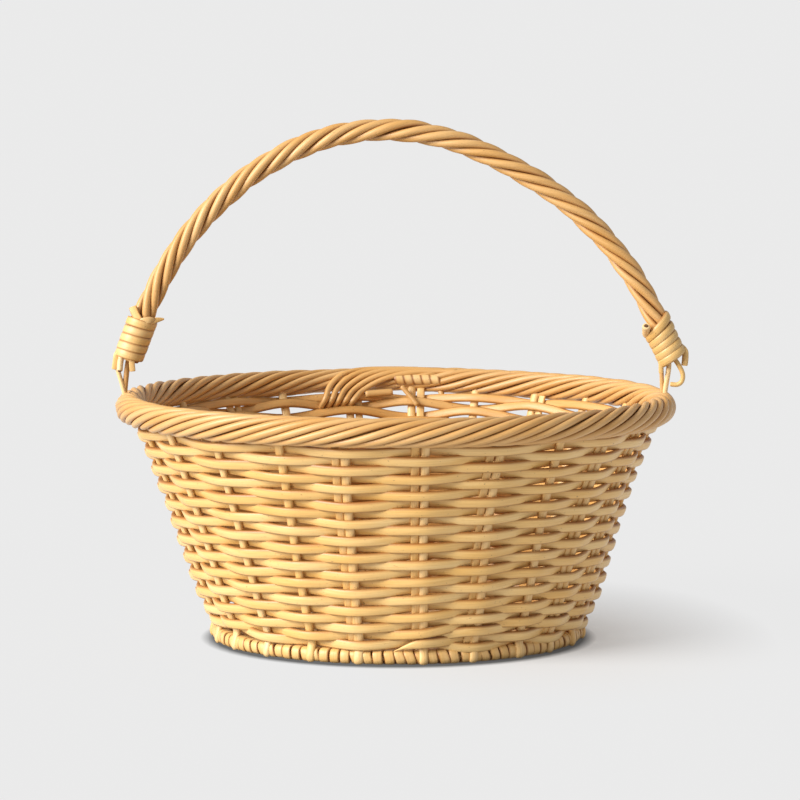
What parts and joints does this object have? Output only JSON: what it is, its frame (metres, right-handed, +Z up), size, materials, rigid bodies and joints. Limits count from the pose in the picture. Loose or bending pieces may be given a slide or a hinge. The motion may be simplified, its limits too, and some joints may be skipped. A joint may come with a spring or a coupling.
{
  "type": "easter basket",
  "caption": "Round flared woven willow basket with a rope border, a wrapped foot and an arched twisted handle that swings on two thin loops.",
  "frame": {"origin": "middle of the flat face that the basket stands on, at floor level", "axes": "+Z up; +X from one handle foot to the other, towards the right foot seen from the front; -Y is the front"},
  "size_m": [0.31, 0.3055, 0.283],
  "materials": {
    "stake_willow": "natural peeled willow rod, satin",
    "weaver_willow": "natural peeled willow rod, satin",
    "hoop_willow": "natural peeled willow rod wrapped round a hoop, satin",
    "mat_willow": "woven natural willow, matt",
    "rim_willow": "natural willow rods rolled into a rope, satin, slightly browner",
    "handle_willow": "natural willow rods twisted into a rope, satin",
    "binding_willow": "split and round willow wound into a sleeve, satin",
    "loop_willow": "thin pale willow rod, satin"
  },
  "bodies": {
    "basket": {"stake_01": "stake_willow", "stake_02": "stake_willow", "stake_03": "stake_willow", "stake_04": "stake_willow", "stake_05": "stake_willow", "stake_06": "stake_willow", "stake_07": "stake_willow", "stake_08": "stake_willow", "stake_09": "stake_willow", "stake_10": "stake_willow", "stake_11": "stake_willow", "stake_12": "stake_willow", "stake_13": "stake_willow", "stake_14": "stake_willow", "stake_15": "stake_willow", "stake_16": "stake_willow", "stake_17": "stake_willow", "stake_18": "stake_willow", "stake_19": "stake_willow", "stake_20": "stake_willow", "stake_21": "stake_willow", "stake_22": "stake_willow", "stake_23": "stake_willow", "weaver_01": "weaver_willow", "weaver_02": "weaver_willow", "weaver_03": "weaver_willow", "weaver_04": "weaver_willow", "weaver_05": "weaver_willow", "weaver_06": "weaver_willow", "weaver_07": "weaver_willow", "weaver_08": "weaver_willow", "weaver_09": "weaver_willow", "weaver_10": "weaver_willow", "weaver_11": "weaver_willow", "weaver_12": "weaver_willow", "weaver_13": "weaver_willow", "weaver_14": "weaver_willow", "weaver_15": "weaver_willow", "weaver_16": "weaver_willow", "weaver_17": "weaver_willow", "weaver_18": "weaver_willow", "weaver_19": "weaver_willow", "weaver_20": "weaver_willow", "weaver_21": "weaver_willow", "weaver_22": "weaver_willow", "weaver_23": "weaver_willow", "base_hoop": "hoop_willow", "base_mat": "mat_willow", "rim_rope": "rim_willow"},
    "handle": {"handle_rope": "handle_willow", "handle_binding_left": "binding_willow", "handle_binding_right": "binding_willow", "handle_loop_left": "loop_willow", "handle_loop_right": "loop_willow"}
  },
  "joints": [
    {"name": "handle_swing", "type": "hinge", "parent": "basket", "child": "handle", "pos_m": [0, 0, 0.1305], "axis": [1, 0, 0], "range_deg": [-52, 52]}
  ]
}
